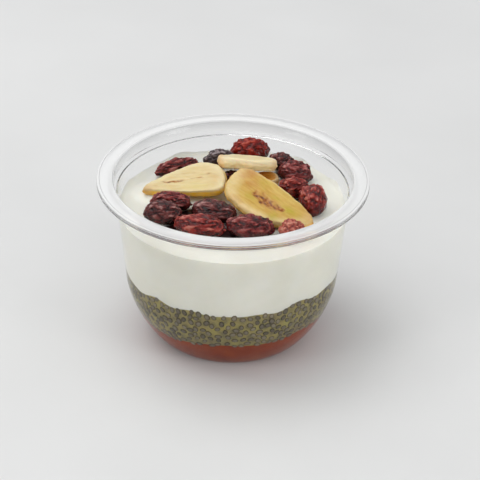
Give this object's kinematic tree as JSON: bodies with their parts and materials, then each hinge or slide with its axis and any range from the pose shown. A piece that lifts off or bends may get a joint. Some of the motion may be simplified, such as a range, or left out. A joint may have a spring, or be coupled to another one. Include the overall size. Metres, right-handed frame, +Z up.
{
  "type": "chia pudding in a pot",
  "caption": "Chia pudding in a clear plastic pot: fruit puree, soaked chia seeds and yogurt in layers, with dried cranberries and slices of dried banana on top",
  "frame": {"origin": "middle of the foot, on the surface that the pot stands on", "axes": "+Z up along the pot's axis, -Y towards the viewer, +X to the viewer's right"},
  "size_m": [0.095, 0.095, 0.0615],
  "materials": {
    "clear_plastic": "clear and glossy",
    "fruit_puree": "wet, slightly see-through fruit puree",
    "chia_seeds": "grey-brown seeds in wet, olive gel",
    "yogurt": "satin, off-white",
    "dried_cranberry": "wrinkled and slightly sticky, dark red",
    "dried_banana": "satin, cream to straw yellow"
  },
  "bodies": {
    "root": {"pot": "clear_plastic", "fruit_puree": "fruit_puree", "chia_seeds": "chia_seeds", "yogurt": "yogurt", "cranberry_back_red": "dried_cranberry", "cranberry_back_dark": "dried_cranberry", "cranberry_back_left": "dried_cranberry", "cranberry_right_far": "dried_cranberry", "cranberry_right_upper": "dried_cranberry", "cranberry_right_middle": "dried_cranberry", "cranberry_right_front": "dried_cranberry", "cranberry_left_upper": "dried_cranberry", "cranberry_left_lower": "dried_cranberry", "cranberry_middle": "dried_cranberry", "cranberry_front_left": "dried_cranberry", "cranberry_front_middle": "dried_cranberry", "cranberry_front_right": "dried_cranberry", "cranberry_centre": "dried_cranberry", "banana_left": "dried_banana", "banana_right": "dried_banana", "banana_top": "dried_banana", "banana_under": "dried_banana"}
  },
  "joints": []
}
